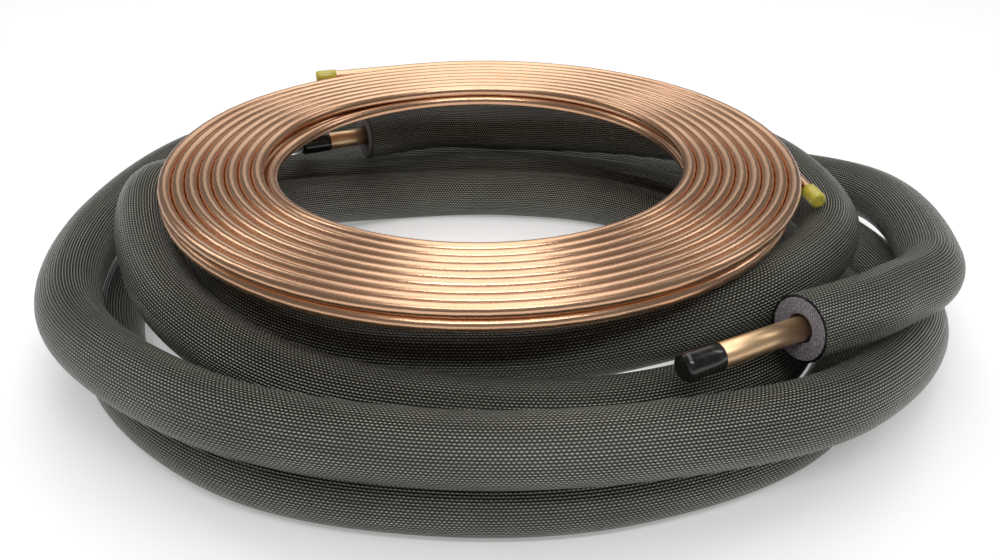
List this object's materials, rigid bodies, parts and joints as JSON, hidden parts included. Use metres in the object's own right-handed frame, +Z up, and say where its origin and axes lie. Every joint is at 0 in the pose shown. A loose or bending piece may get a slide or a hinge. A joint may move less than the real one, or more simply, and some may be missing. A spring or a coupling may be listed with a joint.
{
  "type": "mini split line set",
  "caption": "Coil of foam-insulated copper suction line on the floor, with a flat coil of bare copper liquid line lying on it, every tube end capped.",
  "frame": {"origin": "middle of the bounding box, on the floor the coil lies on", "axes": "+Z up; -Y towards the front of the picture, where the capped suction end points; +X to the picture's right"},
  "size_m": [0.7026, 0.662, 0.1383],
  "materials": {
    "foam_jacket": "closed-cell foam under a black mesh-textured jacket",
    "copper_suction": "drawn soft copper, satin, golden where it is bare at the ends",
    "copper_liquid": "drawn soft copper, satin, salmon pink",
    "black_cap": "glossy black push-on cap",
    "yellow_cap": "glossy yellow push-on cap"
  },
  "bodies": {
    "root": {"insulation_sleeve": "foam_jacket", "suction_tube": "copper_suction", "suction_cap_front": "black_cap", "suction_cap_back": "black_cap", "liquid_line_coil": "copper_liquid", "liquid_cap_front": "yellow_cap", "liquid_cap_back": "yellow_cap"}
  },
  "joints": []
}
